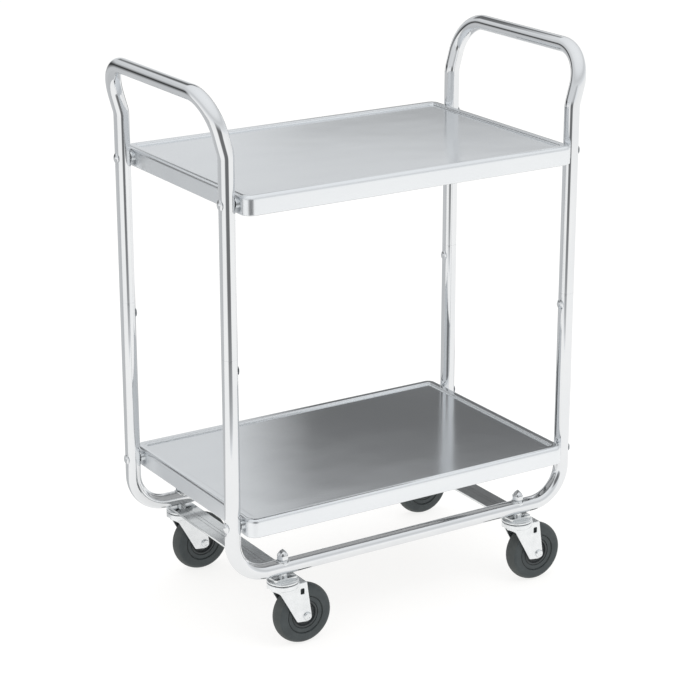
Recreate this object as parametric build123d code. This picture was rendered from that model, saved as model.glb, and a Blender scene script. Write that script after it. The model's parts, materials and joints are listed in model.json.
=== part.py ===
from build123d import *
import math
import os

os.makedirs("parts", exist_ok=True)

# Two-shelf tubular cart on four swivel casters, in millimetres.
# X runs along the shelves' long side, -Y is the front, +Z is up.
# The origin is on the floor, under the middle of the cart.

SIDES = {"left": -1, "right": 1}
ENDS = {"front": -1, "back": 1}

# How far a cutter runs past what it cuts, and joined shapes run into each other.
OVERLAP = 1.0

# Frame: one tube size, one bending radius.
TUBE_R = 12.7
TUBE_WALL = 1.6
BEND_R = 60.0
LEG_X = 320.5
LEG_Y = 171.0
RAIL_Z = 138.4
RAIL_BOTTOM = RAIL_Z - TUBE_R
RAIL_TOP = RAIL_Z + TUBE_R

# Handles: the legs lean outwards above the upper shelf.
LEAN_Z = 822.0
LEAN_R = 45.0
HANDLE_X = 344.6
HANDLE_Z = 909.0

# Splices between the handle bows and the base frames.
SPLICE_Z = 505.0
SPLICE_BOLT_Z = 485.0
SLEEVE_HALF = 60.0
SLEEVE_WALL = 2.0
SLEEVE_GAP = 0.05

# Shelves: pressed trays with a raised rim and a lip turned in below.
SHELF_LENGTH = 610.0
SHELF_WIDTH = 402.0
SHELF_HEIGHT = 31.0
SHELF_CORNER_R = 17.0
SHELF_SHEET = 1.2
SHELF_RIM = 15.0
SHELF_RECESS = 3.5
SHELF_LIP = 9.0
RIM_ROUND = 7.0
FLOOR_COVE = 3.0
SHELF_TOPS = {"lower": 243.5, "upper": 762.5}

# Bolts through the legs.
BOLT_R = 4.0
HOLE_GAP = 0.2
DOME_R = 8.6
DOME_HEIGHT = 3.6
DIMPLE_DEPTH = 1.0
DIMPLE_R = 95.0
DIMPLE_HEIGHT = 32.0
SPACER_R = 8.0
NUT_ACROSS = 12.7
NUT_HEIGHT = 6.5
BOLT_STICK_OUT = 2.0
BOLT_SLIP = 0.02
SHELF_END_X = SHELF_LENGTH / 2
NUT_SEAT = SHELF_END_X - SHELF_SHEET
LEG_INNER_SEAT = LEG_X - TUBE_R + DIMPLE_DEPTH
LEG_OUTER_SEAT = LEG_X + TUBE_R - DIMPLE_DEPTH

# Cross bars under the rails, and the caster stems that clamp them.
CASTER_X = 231.0
STEM_R = 5.5
COLLAR_R = 7.6
BAR_TOP = 122.7
BAR_WIDTH = 42.0
BAR_THICK = 4.0
BAR_LENGTH = 368.0
BAR_CORNER = 3.5
BAR_BOTTOM = BAR_TOP - BAR_THICK
SADDLE_R = 11.3
SADDLE_THICK = 1.2
CAP_NUT_ACROSS = 17.5
CAP_NUT_HEX = 7.5
CAP_NUT_TOP = 169.0
CAP_NUT_BORE_TOP = 160.0
CAP_NUT_BEVEL = 0.8
CAP_NUT_TIP_R = 1.2
CAP_NUT_BULGE = 1.1

# Swivel: a ball race between the top plate and the fork's crown.
RACE_R = 26.0
RACE_SHOULDER = 2.2
RACE_BOTTOM = 113.6
RACE_BOSS_R = 22.0
RACE_BOSS_BOTTOM = 111.6
CUP_TOP = 113.0
CUP_WALL = 2.4
CROWN_TOP = 107.2
CROWN_BOTTOM = 103.6
CROWN_CHAMFER = 4.0
BALL_R = 3.175
BALL_RING_R = 18.5
BALL_COUNT = 14
BALL_GAP = 0.06
RUNNING_GAP = 0.06
RIVET_R = 9.5
RIVET_HEIGHT = 3.8
RIVET_CLEAR = 0.3

# Wheel.
WHEEL_R = 50.8
WHEEL_WIDTH = 28.0
TREAD_CROWN_R = 20.0
TREAD_SHOULDER_R = 7.0

# Fork: distances along X are from the stem's line.
TRAIL = 34.0
FORK_GAP = 33.0
FORK_SHEET = 2.8
FORK_OUTER = FORK_GAP / 2 + FORK_SHEET
SHOULDER_TOP = 111.0
FORK_FRONT_X = -17.4
FORK_BACK_X = 34.0
KNEE_Z = 102.5
KNEE_R = 10.0
TOE_X = 15.6
TOE_Z = WHEEL_R - 7.2
TOE_R = 5.0
HEEL_X = 44.0
HEEL_Z = WHEEL_R - 10.6
HEEL_R = 9.0
WINDOW_X = 25.5
WINDOW_Z = 96.0
WINDOW_LENGTH = 7.0
WINDOW_HEIGHT = 10.0

# Axle, hub and tyre.
AXLE_R = 4.0
AXLE_HEAD_R = 7.0
AXLE_HEAD = 3.4
BUSH_R = 6.0
HUB_R = 23.0
HUB_BOSS_R = 10.5
HUB_LENGTH = 31.0
HUB_RIM_WIDTH = 23.0
HUB_RIM_THICK = 3.0
HUB_CHAMFER = 1.0
HUB_DRAFT = 0.5
WEB_WIDTH = 14.0
SIDE_RING_R = 33.0
SIDE_RING_STEP = 1.6
SIDE_RING_SLOPE = 1.0


# ---- helpers ------------------------------------------------------------
def bar_plane(start, end):
    """A plane at start facing end, and the distance between them."""
    start, end = Vector(*start), Vector(*end)
    run = end - start
    return Plane(origin=start, z_dir=run.normalized()), run.length


def rod(start, end, radius):
    """A round bar between two points."""
    plane, length = bar_plane(start, end)
    return extrude(plane * Circle(radius), length)


def hexagon(start, end, across):
    """A hexagonal bar between two points, sized across its flats."""
    plane, length = bar_plane(start, end)
    return extrude(plane * RegularPolygon(across / math.sqrt(3), 6), length)


def turned(points):
    """A solid of revolution about Z, from (radius, height) points."""
    outline = Polyline(*[(r, 0, z) for r, z in points], close=True)
    return revolve(make_face(outline), Axis.Z)


def ring(outer, inner, bottom, top):
    """A flat ring about Z."""
    return rod((0, 0, bottom), (0, 0, top), outer) - rod((0, 0, bottom), (0, 0, top), inner)


def dome(base_radius, height):
    """A spherical cap standing on the XY plane."""
    sphere_radius = (base_radius**2 + height**2) / (2 * height)
    ball = Pos(0, 0, height - sphere_radius) * Sphere(sphere_radius)
    keep = Pos(0, 0, height / 2) * Box(3 * base_radius, 3 * base_radius, height)
    return ball & keep


def slab(length, width, corner_radius, bottom, top):
    """An upright plate with rounded corners, centred on Z."""
    outline = Plane.XY.offset(bottom) * RectangleRounded(length, width, corner_radius)
    return extrude(outline, top - bottom)


def at_legs():
    """Each leg's side and end, left front first."""
    return [(side, end) for side in SIDES.values() for end in ENDS.values()]


def save(shape, node):
    export_step(shape, f"parts/{node}.step")


def save_group(solids, node):
    """Several separate solids in one node."""
    save(Compound(children=list(solids)), node)


# ---- frame tubes --------------------------------------------------------
def bent_tube(path):
    """A round tube along a path, joined from its straight runs and its bends."""
    wall = Circle(TUBE_R) - Circle(TUBE_R - TUBE_WALL)
    pieces = []
    for run in path.edges():
        start = Plane(origin=run @ 0, z_dir=run % 0)
        pieces.append(sweep(start * wall, path=run))
    return pieces[0].fuse(*pieces[1:])


def flat(side, end, height, outward):
    """The cutter for the shallow flat on a leg's outer (1) or inner (-1) face."""
    face_x = side * (LEG_X + outward * (TUBE_R - DIMPLE_DEPTH))
    centre_x = face_x + side * outward * DIMPLE_R
    y = end * LEG_Y
    drum = rod((centre_x, y - TUBE_R, height), (centre_x, y + TUBE_R, height), DIMPLE_R)
    return drum & Pos(face_x, y, height) * Box(TUBE_R, 2 * TUBE_R, DIMPLE_HEIGHT)


def shelf_bolt_height(level):
    return SHELF_TOPS[level] - SHELF_HEIGHT / 2


def drill_leg(tube, side, end, level):
    """Flats on both faces of a leg, and the shelf bolt's hole between them."""
    height = shelf_bolt_height(level)
    tube -= flat(side, end, height, 1)
    tube -= flat(side, end, height, -1)
    near = (side * LEG_X - TUBE_R - OVERLAP, end * LEG_Y, height)
    far = (side * LEG_X + TUBE_R + OVERLAP, end * LEG_Y, height)
    return tube - rod(near, far, BOLT_R + HOLE_GAP)


def handle_bow(side):
    """One end's handle with the upper half of both its legs, in one bent tube."""
    leg_x, top_x = side * LEG_X, side * HANDLE_X
    path = FilletPolyline(
        (leg_x, -LEG_Y, SPLICE_Z),
        (leg_x, -LEG_Y, LEAN_Z),
        (top_x, -LEG_Y, HANDLE_Z),
        (top_x, LEG_Y, HANDLE_Z),
        (leg_x, LEG_Y, LEAN_Z),
        (leg_x, LEG_Y, SPLICE_Z),
        radius=[LEAN_R, BEND_R, BEND_R, LEAN_R],
    )
    tube = bent_tube(path)
    for end in ENDS.values():
        tube = drill_leg(tube, side, end, "upper")
    return tube


def splice_bolt_hole(side, end):
    """The splice bolt's hole, through the leg's inner wall only."""
    centre = side * LEG_X
    inner_face = side * (LEG_X - TUBE_R - OVERLAP)
    start = (inner_face, end * LEG_Y, SPLICE_BOLT_Z)
    return rod(start, (centre, end * LEG_Y, SPLICE_BOLT_Z), BOLT_R + HOLE_GAP)


def base_frame(end):
    """A bottom rail with the lower half of a leg at each end, in one bent tube."""
    y = end * LEG_Y
    path = FilletPolyline(
        (-LEG_X, y, SPLICE_Z),
        (-LEG_X, y, RAIL_Z),
        (LEG_X, y, RAIL_Z),
        (LEG_X, y, SPLICE_Z),
        radius=BEND_R,
    )
    tube = bent_tube(path)
    for side in SIDES.values():
        tube = drill_leg(tube, side, end, "lower")
        tube -= flat(side, end, SPLICE_BOLT_Z, -1)
        tube -= splice_bolt_hole(side, end)
        hole_foot = (side * CASTER_X, y, RAIL_BOTTOM - OVERLAP)
        hole_head = (side * CASTER_X, y, RAIL_TOP + OVERLAP)
        tube -= rod(hole_foot, hole_head, STEM_R + HOLE_GAP)
    return tube


def splice_sleeve(side, end):
    """A sleeve inside the leg, half in the handle bow and half in the base."""
    outer = TUBE_R - TUBE_WALL - SLEEVE_GAP
    foot = (side * LEG_X, end * LEG_Y, SPLICE_Z - SLEEVE_HALF)
    head = (side * LEG_X, end * LEG_Y, SPLICE_Z + SLEEVE_HALF)
    sleeve = rod(foot, head, outer) - rod(foot, head, outer - SLEEVE_WALL)
    return sleeve - splice_bolt_hole(side, end)


# ---- bolts --------------------------------------------------------------
def leg_stub(side, end, height, outward):
    """A solid length of leg with one flat, for shaping what sits against it."""
    foot = (side * LEG_X, end * LEG_Y, height - DOME_R - OVERLAP)
    head = (side * LEG_X, end * LEG_Y, height + DOME_R + OVERLAP)
    return rod(foot, head, TUBE_R) - flat(side, end, height, outward)


def dome_bolt(side, end, height, outward, length):
    """A dome-headed bolt along X, with its head bedded on one face of a leg."""
    seat_x = side * (LEG_X + outward * (TUBE_R - DIMPLE_DEPTH))
    turn = 90 * side * outward
    seat = Pos(seat_x, end * LEG_Y, height)
    head = seat * Rot(0, turn, 0) * dome(DOME_R, DOME_HEIGHT)
    head -= leg_stub(side, end, height, outward)
    inwards = -side * outward
    root = (seat_x - inwards * OVERLAP, end * LEG_Y, height)
    tip = (seat_x + inwards * length, end * LEG_Y, height)
    return head + rod(root, tip, BOLT_R - BOLT_SLIP)


def splice_bolt(side, end):
    """Headed on the leg's inner face, screwed into the sleeve."""
    reach = TUBE_WALL + SLEEVE_GAP + SLEEVE_WALL + BOLT_STICK_OUT
    return dome_bolt(side, end, SPLICE_BOLT_Z, -1, reach)


def shelf_bolt(side, end, level):
    """Headed on the leg's outer face, through the leg and the shelf's end."""
    reach = LEG_OUTER_SEAT - NUT_SEAT + NUT_HEIGHT + BOLT_STICK_OUT
    return dome_bolt(side, end, shelf_bolt_height(level), 1, reach)


def shelf_spacer(side, end, level):
    """A short collar between the leg's inner flat and the shelf's end."""
    height = shelf_bolt_height(level)
    inner = (side * SHELF_END_X, end * LEG_Y, height)
    outer = (side * LEG_INNER_SEAT, end * LEG_Y, height)
    collar = rod(inner, outer, SPACER_R) - rod(inner, outer, BOLT_R + HOLE_GAP)
    return collar - leg_stub(side, end, height, -1)


def shelf_nut(side, end, level):
    """The hexagon nut inside the shelf's end."""
    height = shelf_bolt_height(level)
    outer = (side * NUT_SEAT, end * LEG_Y, height)
    inner = (side * (NUT_SEAT - NUT_HEIGHT), end * LEG_Y, height)
    return hexagon(outer, inner, NUT_ACROSS) - rod(outer, inner, BOLT_R)


# ---- shelves ------------------------------------------------------------
def shelf(level):
    """A tray of sheet steel: sunk floor, raised rim, deep skirt and turned-in lip."""
    top = SHELF_TOPS[level]
    bottom = top - SHELF_HEIGHT
    sheet = SHELF_SHEET
    tray = slab(SHELF_LENGTH, SHELF_WIDTH, SHELF_CORNER_R, bottom, top)
    tray = fillet(tray.faces().sort_by(Axis.Z)[-1].edges(), RIM_ROUND)

    sunk_length = SHELF_LENGTH - 2 * SHELF_RIM
    sunk_width = SHELF_WIDTH - 2 * SHELF_RIM
    sunk_corner = SHELF_CORNER_R - SHELF_RIM + FLOOR_COVE
    floor_top = top - SHELF_RECESS
    sunk = slab(sunk_length, sunk_width, sunk_corner, floor_top, top)
    sunk = fillet(sunk.faces().sort_by(Axis.Z)[0].edges(), FLOOR_COVE)
    tray -= sunk

    hollow = slab(
        SHELF_LENGTH - 2 * sheet,
        SHELF_WIDTH - 2 * sheet,
        SHELF_CORNER_R - sheet,
        bottom + sheet,
        top - sheet,
    )
    hollow = fillet(hollow.faces().sort_by(Axis.Z)[-1].edges(), RIM_ROUND - sheet)
    hollow -= slab(
        sunk_length + 2 * sheet,
        sunk_width + 2 * sheet,
        sunk_corner + sheet,
        floor_top - sheet,
        top,
    )
    mouth = slab(
        SHELF_LENGTH - 2 * SHELF_LIP,
        SHELF_WIDTH - 2 * SHELF_LIP,
        SHELF_CORNER_R - SHELF_LIP,
        bottom,
        bottom + sheet,
    )
    tray = tray - hollow - mouth

    for side, end in at_legs():
        height = shelf_bolt_height(level)
        outer = (side * (SHELF_END_X + OVERLAP), end * LEG_Y, height)
        inner = (side * (NUT_SEAT - OVERLAP), end * LEG_Y, height)
        tray -= rod(outer, inner, BOLT_R + HOLE_GAP)
    return tray


# ---- cross bars and the nuts above them ---------------------------------
def cross_bar(side):
    """A flat bar across the cart's end, clamped under both rails."""
    outline = Rectangle(BAR_WIDTH, BAR_LENGTH)
    outline = chamfer(outline.vertices(), BAR_CORNER)
    bar = extrude(Plane.XY.offset(BAR_BOTTOM) * outline, BAR_THICK)
    for end in ENDS.values():
        bar -= rod((0, end * LEG_Y, BAR_BOTTOM), (0, end * LEG_Y, BAR_TOP), STEM_R + HOLE_GAP)
    return Pos(side * CASTER_X, 0, 0) * bar


def rail_stub(radius):
    """A length of rail over a stem, for shaping what sits against it."""
    return rod((-2 * RACE_R, 0, RAIL_Z), (2 * RACE_R, 0, RAIL_Z), radius)


def stem_collar():
    """A collar on the stem between the bar and the rail's underside."""
    collar = ring(COLLAR_R, STEM_R + HOLE_GAP, BAR_TOP, RAIL_Z)
    return collar - rail_stub(TUBE_R)


def saddle_washer():
    """A washer curved to the rail's top."""
    disc = ring(SADDLE_R, STEM_R + HOLE_GAP, RAIL_Z, RAIL_TOP + SADDLE_THICK)
    return (disc & rail_stub(TUBE_R + SADDLE_THICK)) - rail_stub(TUBE_R)


def cap_nut():
    """A hexagon nut with a tall pointed dome over the stem's end."""
    seat = RAIL_TOP + SADDLE_THICK
    hex_top = seat + CAP_NUT_HEX
    corner_r = CAP_NUT_ACROSS / math.sqrt(3)
    bevelled = turned(
        [
            (0, seat),
            (corner_r - CAP_NUT_BEVEL, seat),
            (corner_r, seat + CAP_NUT_BEVEL),
            (corner_r, hex_top - CAP_NUT_BEVEL),
            (corner_r - CAP_NUT_BEVEL, hex_top),
            (0, hex_top),
        ]
    )
    base = hexagon((0, 0, seat), (0, 0, hex_top), CAP_NUT_ACROSS) & bevelled

    foot = (CAP_NUT_ACROSS / 2 - CAP_NUT_BEVEL / 2, 0, hex_top - CAP_NUT_BEVEL)
    tip = (CAP_NUT_TIP_R, 0, CAP_NUT_TOP)
    middle = ((foot[0] + tip[0]) / 2 + CAP_NUT_BULGE, 0, (foot[2] + tip[2]) / 2)
    side_curve = ThreePointArc(foot, middle, tip)
    core = Polyline(tip, (0, 0, CAP_NUT_TOP), (0, 0, foot[2]), foot)
    bullet = revolve(make_face(side_curve + core), Axis.Z)
    bore = rod((0, 0, seat), (0, 0, CAP_NUT_BORE_TOP), STEM_R)
    return base + bullet - bore


# ---- caster: what is fixed to the frame ---------------------------------
def ball_groove():
    """The round groove that the balls run in, as a ring to cut away."""
    plane = Plane(origin=(BALL_RING_R, 0, ball_height()), x_dir=(1, 0, 0), z_dir=(0, -1, 0))
    return revolve(plane * Circle(BALL_R + BALL_GAP), Axis.Z)


def ball_height():
    """The balls' centres lie midway between the two races."""
    return (CROWN_TOP + RACE_BOSS_BOTTOM) / 2


def stem():
    """The stem bolt, whose lower head carries the fork."""
    head_top = CROWN_BOTTOM - RIVET_CLEAR
    head = Pos(0, 0, head_top) * Rot(180, 0, 0) * dome(RIVET_R, RIVET_HEIGHT)
    foot = (0, 0, head_top - OVERLAP)
    tip = (0, 0, CAP_NUT_BORE_TOP - OVERLAP)
    return head + rod(foot, tip, STEM_R - BOLT_SLIP)


def top_race():
    """The fixed top plate, with the upper ball groove under it."""
    plate = turned(
        [
            (STEM_R, RACE_BOSS_BOTTOM),
            (RACE_BOSS_R, RACE_BOSS_BOTTOM),
            (RACE_BOSS_R, RACE_BOTTOM),
            (RACE_R, RACE_BOTTOM),
            (RACE_R, BAR_BOTTOM - RACE_SHOULDER),
            (RACE_R - RACE_SHOULDER, BAR_BOTTOM),
            (STEM_R, BAR_BOTTOM),
        ]
    )
    return plate - ball_groove()


# ---- caster: what swivels -----------------------------------------------
def fork_leg_outline():
    """One fork leg seen from the side: a tapering plate, rounded below the axle."""
    corners = [
        (FORK_FRONT_X, SHOULDER_TOP),
        (FORK_FRONT_X, KNEE_Z),
        (TOE_X, TOE_Z),
        (HEEL_X, HEEL_Z),
        (FORK_BACK_X, SHOULDER_TOP),
    ]
    face = make_face(Polyline(*corners, close=True))
    for corner, radius in zip(corners[1:4], (KNEE_R, TOE_R, HEEL_R)):
        vertex = face.vertices().sort_by_distance(corner)[0]
        face = fillet(vertex, radius)
    window = Pos(WINDOW_X, WINDOW_Z) * Rectangle(WINDOW_LENGTH, WINDOW_HEIGHT)
    return Plane.XZ * (face - window)


def fork():
    """A pressed fork: ball cup, shoulder behind it and two legs."""
    cup = turned(
        [
            (STEM_R + RUNNING_GAP, CROWN_BOTTOM),
            (RACE_R - CROWN_CHAMFER, CROWN_BOTTOM),
            (RACE_R, CROWN_BOTTOM + CROWN_CHAMFER),
            (RACE_R, CUP_TOP),
            (RACE_R - CUP_WALL, CUP_TOP),
            (RACE_R - CUP_WALL, CROWN_TOP),
            (STEM_R + RUNNING_GAP, CROWN_TOP),
        ]
    )
    shoulder = Pos(FORK_BACK_X / 2, 0, SHOULDER_TOP - FORK_SHEET / 2) * Box(
        FORK_BACK_X, 2 * FORK_OUTER, FORK_SHEET
    )
    leg_face = fork_leg_outline()
    body = cup + shoulder
    for y in (-FORK_GAP / 2, FORK_OUTER):
        body += Pos(0, y, 0) * extrude(leg_face, FORK_SHEET)
    body -= ring(RACE_R - CUP_WALL, STEM_R + RUNNING_GAP, CROWN_TOP, CUP_TOP)
    body -= rod((0, 0, CROWN_BOTTOM - OVERLAP), (0, 0, CUP_TOP), STEM_R + RUNNING_GAP)
    body -= ball_groove()
    return body - rod((TRAIL, -RACE_R, WHEEL_R), (TRAIL, RACE_R, WHEEL_R), AXLE_R)


def balls():
    """The race's balls, as separate solids."""
    spots = [math.tau * i / BALL_COUNT for i in range(BALL_COUNT)]
    height = ball_height()
    return [
        Pos(BALL_RING_R * math.cos(a), BALL_RING_R * math.sin(a), height) * Sphere(BALL_R) for a in spots
    ]


def axle_bolt():
    """Headed on the fork's front face, threaded beyond its back face."""
    head = Pos(TRAIL, -FORK_OUTER, WHEEL_R) * Rot(90, 0, 0) * dome(AXLE_HEAD_R, AXLE_HEAD)
    start = (TRAIL, -FORK_OUTER - OVERLAP, WHEEL_R)
    end = (TRAIL, FORK_OUTER + NUT_HEIGHT + BOLT_STICK_OUT, WHEEL_R)
    return head + rod(start, end, AXLE_R - BOLT_SLIP)


def axle_nut():
    start = (TRAIL, FORK_OUTER, WHEEL_R)
    end = (TRAIL, FORK_OUTER + NUT_HEIGHT, WHEEL_R)
    return hexagon(start, end, NUT_ACROSS) - rod(start, end, AXLE_R)


def axle_bush():
    """The tube clamped between the fork's legs, which the hub turns on."""
    start = (TRAIL, -FORK_GAP / 2, WHEEL_R)
    end = (TRAIL, FORK_GAP / 2, WHEEL_R)
    return rod(start, end, BUSH_R) - rod(start, end, AXLE_R)


# ---- caster: what rolls -------------------------------------------------
def on_axle(solid):
    """Turns a part made about Z onto the wheel's axle."""
    return Pos(TRAIL, 0, WHEEL_R) * Rot(90, 0, 0) * solid


def hub():
    """The wheel's core: a long boss on the bush, a web and a rim."""
    bore = BUSH_R + RUNNING_GAP
    half = [
        (bore, HUB_LENGTH / 2),
        (HUB_BOSS_R - HUB_CHAMFER, HUB_LENGTH / 2),
        (HUB_BOSS_R, HUB_LENGTH / 2 - HUB_CHAMFER),
        (HUB_BOSS_R + HUB_DRAFT, WEB_WIDTH / 2),
        (HUB_R - HUB_RIM_THICK - HUB_DRAFT, WEB_WIDTH / 2),
        (HUB_R - HUB_RIM_THICK, HUB_RIM_WIDTH / 2),
        (HUB_R, HUB_RIM_WIDTH / 2),
    ]
    mirrored = [(r, -z) for r, z in reversed(half)]
    return on_axle(turned(half + mirrored))


def tyre():
    """A solid rubber tyre: crowned tread, round shoulders, a sunk inner ring on each side."""
    side = WHEEL_WIDTH / 2
    sunk = side - SIDE_RING_STEP
    crown_x = WHEEL_R - TREAD_CROWN_R
    reach = TREAD_CROWN_R - TREAD_SHOULDER_R
    shoulder_y = side - TREAD_SHOULDER_R
    turn = math.asin(shoulder_y / reach)
    shoulder_x = crown_x + reach * math.cos(turn)

    def on_shoulder(angle):
        x = shoulder_x + TREAD_SHOULDER_R * math.cos(angle)
        return x, shoulder_y + TREAD_SHOULDER_R * math.sin(angle)

    right = Polyline(
        (HUB_R, sunk),
        (SIDE_RING_R - SIDE_RING_SLOPE, sunk),
        (SIDE_RING_R, side),
        (shoulder_x, side),
    )
    tread_x, tread_y = on_shoulder(turn)
    middle = on_shoulder((math.pi / 2 + turn) / 2)
    shoulder = ThreePointArc((shoulder_x, side), middle, (tread_x, tread_y))
    half = [*right.edges(), *shoulder.edges()]
    other = [edge.mirror(Plane.XZ) for edge in half]
    tread = ThreePointArc((tread_x, tread_y), (WHEEL_R, 0), (tread_x, -tread_y))
    bore = Line((HUB_R, -sunk), (HUB_R, sunk))
    face = make_face(Plane.XZ * Wire([*half, *tread.edges(), *other, *bore.edges()]))
    return on_axle(revolve(face, Axis.Z))


# ---- the whole cart -----------------------------------------------------
for side_name, side_sign in SIDES.items():
    save(handle_bow(side_sign), f"{side_name}_handle_bow")
    save(cross_bar(side_sign), f"{side_name}_cross_bar")

for end_name, end_sign in ENDS.items():
    save(base_frame(end_sign), f"{end_name}_base_frame")

for level_name in SHELF_TOPS:
    save(shelf(level_name), f"{level_name}_shelf")

corners = [(side, end, level) for level in SHELF_TOPS for side, end in at_legs()]
save_group([shelf_bolt(*corner) for corner in corners], "shelf_bolts")
save_group([shelf_spacer(*corner) for corner in corners], "shelf_spacers")
save_group([shelf_nut(*corner) for corner in corners], "shelf_nuts")
save_group([splice_sleeve(*leg) for leg in at_legs()], "splice_sleeves")
save_group([splice_bolt(*leg) for leg in at_legs()], "splice_bolts")

caster_spots = [Pos(side * CASTER_X, end * LEG_Y, 0) for side, end in at_legs()]
save_group([spot * stem_collar() for spot in caster_spots], "stem_collars")
save_group([spot * saddle_washer() for spot in caster_spots], "saddle_washers")
save_group([spot * cap_nut() for spot in caster_spots], "cap_nuts")

for end_name, end_sign in ENDS.items():
    for side_name, side_sign in SIDES.items():
        corner_name = f"{end_name}_{side_name}"
        spot = Pos(side_sign * CASTER_X, end_sign * LEG_Y, 0)
        save(spot * stem(), f"{corner_name}_stem")
        save(spot * top_race(), f"{corner_name}_top_race")
        save(spot * fork(), f"{corner_name}_fork")
        save_group([spot * ball for ball in balls()], f"{corner_name}_balls")
        save(spot * axle_bolt(), f"{corner_name}_axle_bolt")
        save(spot * axle_nut(), f"{corner_name}_axle_nut")
        save(spot * axle_bush(), f"{corner_name}_axle_bush")
        save(spot * hub(), f"{corner_name}_hub")
        save(spot * tyre(), f"{corner_name}_tyre")
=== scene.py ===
import json
import math

import bmesh
import bpy
from mathutils import Matrix, Vector, noise

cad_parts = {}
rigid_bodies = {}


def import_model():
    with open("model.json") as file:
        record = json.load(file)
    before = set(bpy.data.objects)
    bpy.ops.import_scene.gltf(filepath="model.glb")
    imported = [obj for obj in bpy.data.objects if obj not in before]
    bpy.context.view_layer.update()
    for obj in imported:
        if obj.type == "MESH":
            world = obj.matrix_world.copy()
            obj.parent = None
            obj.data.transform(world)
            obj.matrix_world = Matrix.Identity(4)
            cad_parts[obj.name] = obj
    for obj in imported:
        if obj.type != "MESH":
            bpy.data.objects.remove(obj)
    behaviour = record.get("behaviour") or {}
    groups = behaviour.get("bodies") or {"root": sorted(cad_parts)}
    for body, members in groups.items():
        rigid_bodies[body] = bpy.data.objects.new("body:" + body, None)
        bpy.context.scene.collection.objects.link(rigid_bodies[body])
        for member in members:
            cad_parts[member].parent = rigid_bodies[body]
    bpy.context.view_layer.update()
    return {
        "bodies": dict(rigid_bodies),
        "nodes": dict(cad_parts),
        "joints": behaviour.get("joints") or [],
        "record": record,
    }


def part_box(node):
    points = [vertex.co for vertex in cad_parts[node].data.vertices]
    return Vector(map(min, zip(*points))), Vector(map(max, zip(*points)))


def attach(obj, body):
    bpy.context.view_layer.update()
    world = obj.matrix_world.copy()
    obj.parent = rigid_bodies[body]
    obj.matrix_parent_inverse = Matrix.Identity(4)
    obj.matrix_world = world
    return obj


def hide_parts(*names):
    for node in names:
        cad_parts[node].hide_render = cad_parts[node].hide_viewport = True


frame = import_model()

# Looks for a tubular cart on casters. Metres, in the frame's own axes:
# X along the shelves, -Y the front, +Z up.

MM = 0.001
LEVELS = ("lower", "upper")
SIDES = {"left": -1, "right": 1}
ENDS = {"front": -1, "back": 1}
LEGS = [(side, end) for side in SIDES.values() for end in ENDS.values()]

# ---- sizes read from the frame ------------------------------------------
base_low, base_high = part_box("front_base_frame")
TUBE_R = (base_high.y - base_low.y) / 2
LEG_X = base_high.x - TUBE_R
LEG_Y = -(base_high.y + base_low.y) / 2
RAIL_Z = base_low.z + TUBE_R
SPLICE_Z = base_high.z
bow_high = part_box("right_handle_bow")[1]
HANDLE_X = bow_high.x - TUBE_R
HANDLE_Z = bow_high.z - TUBE_R
stem_low, stem_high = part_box("front_right_stem")
STEM_X = (stem_low.x + stem_high.x) / 2
fastener_low, fastener_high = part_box("splice_bolts")
SPLICE_BOLT_Z = (fastener_low.z + fastener_high.z) / 2
tyre_low, tyre_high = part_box("front_right_tyre")
WHEEL_R = (tyre_high.x - tyre_low.x) / 2
WHEEL_WIDTH = tyre_high.y - tyre_low.y
TRAIL = (tyre_low.x + tyre_high.x) / 2 - STEM_X
race_low, race_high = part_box("front_right_top_race")
RACE_R = (race_high.x - race_low.x) / 2
RACE_TOP = race_high.z
CUP_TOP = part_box("front_right_fork")[1].z
hub_low, hub_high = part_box("front_right_hub")
HUB_R = (hub_high.x - hub_low.x) / 2
HUB_LENGTH = hub_high.y - hub_low.y
bush_low, bush_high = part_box("front_right_axle_bush")
BUSH_R = (bush_high.x - bush_low.x) / 2
axle_nut_low, axle_nut_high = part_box("front_right_axle_nut")
NUT_ACROSS = axle_nut_high.x - axle_nut_low.x
NUT_HEIGHT = axle_nut_high.y - axle_nut_low.y
FORK_OUTER = axle_nut_low.y - LEG_Y * ENDS["front"]
cap_low, cap_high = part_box("cap_nuts")
BOLT_Z = {level: sum(corner.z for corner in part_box(f"{level}_shelf")) / 2 for level in LEVELS}

# ---- sizes the boxes don't show -----------------------------------------
TUBE_WALL = 1.6 * MM
TUBE_EDGE = 0.1 * MM
TUBE_SIDES = 64
BEND_R = 60 * MM
BEND_STEPS = 22
LEAN_Z = 822 * MM
LEAN_R = 45 * MM
DIMPLE_DEPTH = 1.0 * MM
DIMPLE_R = 95 * MM
DIMPLE_REACH = 15 * MM
DIMPLE_STEP = 1.25 * MM
DIMPLE_SOFT = 0.35 * MM
HEAD_R = 8.6 * MM
HEAD_HEIGHT = 3.6 * MM
BOLT_R = 4 * MM
STEM_R = 5.5 * MM
STEM_HOLE_R = STEM_R + 0.2 * MM
AXLE_R = 4 * MM
HEX_FACE_SHARE = 0.94
HEX_CHAMFER = math.radians(30)
FIT = 0.06 * MM


# ---- mesh helpers -------------------------------------------------------
def new_piece(name, builder, *materials, sharp=35):
    """An object made from a bmesh, shaded smooth except at edges sharper than the angle.

    Its faces are turned outwards, from normals that are brought up to date first.
    """
    mesh = bpy.data.meshes.new(name)
    builder.normal_update()
    bmesh.ops.recalc_face_normals(builder, faces=builder.faces)
    builder.to_mesh(mesh)
    builder.free()
    piece = bpy.data.objects.new(name, mesh)
    bpy.context.scene.collection.objects.link(piece)
    for material in materials:
        mesh.materials.append(material)
    mesh.shade_smooth()
    mesh.set_sharp_from_angle(angle=math.radians(sharp))
    return piece


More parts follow.
